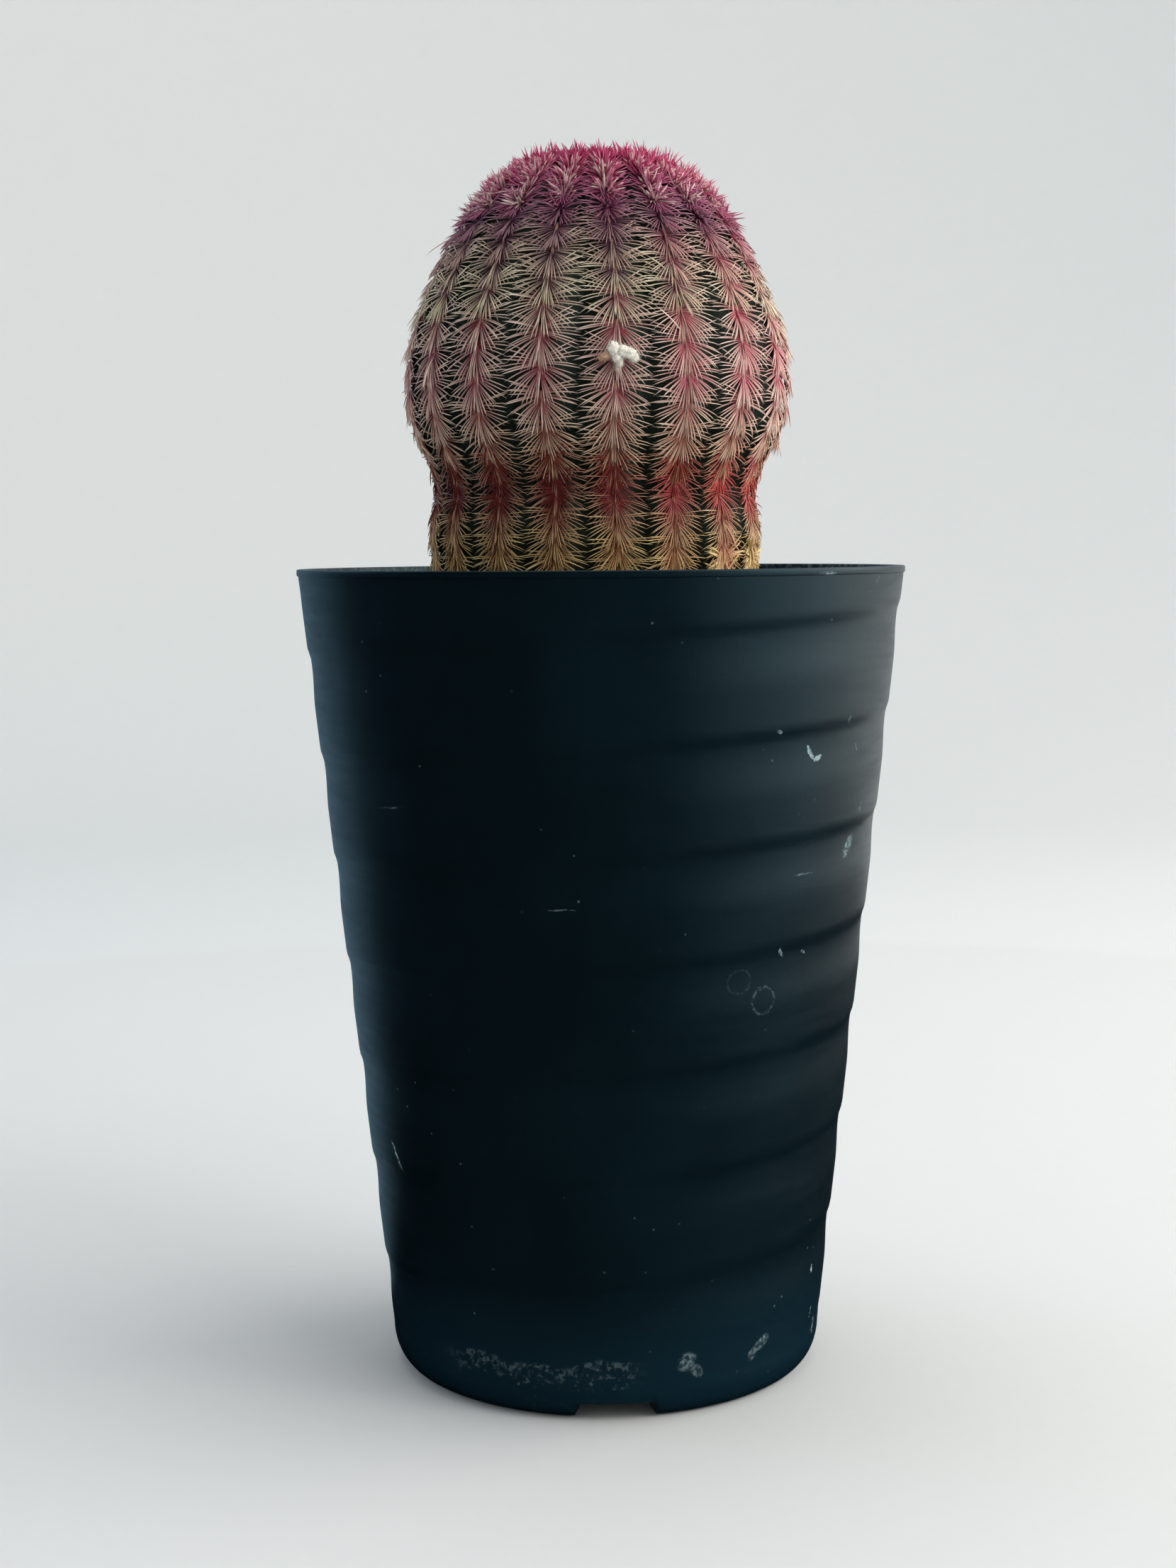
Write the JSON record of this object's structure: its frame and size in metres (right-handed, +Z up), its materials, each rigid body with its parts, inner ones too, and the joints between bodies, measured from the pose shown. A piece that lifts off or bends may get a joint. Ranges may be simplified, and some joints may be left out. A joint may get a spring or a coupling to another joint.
{
  "type": "potted hedgehog cactus",
  "caption": "Ribbed barrel-shaped cactus with combs of spines, standing in soil in a deep tapered plastic nursery pot.",
  "frame": {"origin": "middle of the pot's foot, on the ground", "axes": "+Z up along the pot's axis, -Y towards the front of the plant, +X to the right seen from the front"},
  "size_m": [0.1, 0.1, 0.2021],
  "materials": {
    "pot": "black moulded polyethylene, satin, with a blue-green cast, faint scuffs and hard-water marks near the foot",
    "soil": "gritty brown potting mix, matt",
    "cactus": "dark green skin under combs of spines banded in cream, dusty rose, ochre and magenta",
    "wool": "cream-white plant wool, matt and fibrous"
  },
  "bodies": {
    "root": {"pot": "pot", "soil": "soil", "cactus": "cactus", "wool_tuft": "wool"}
  },
  "joints": []
}
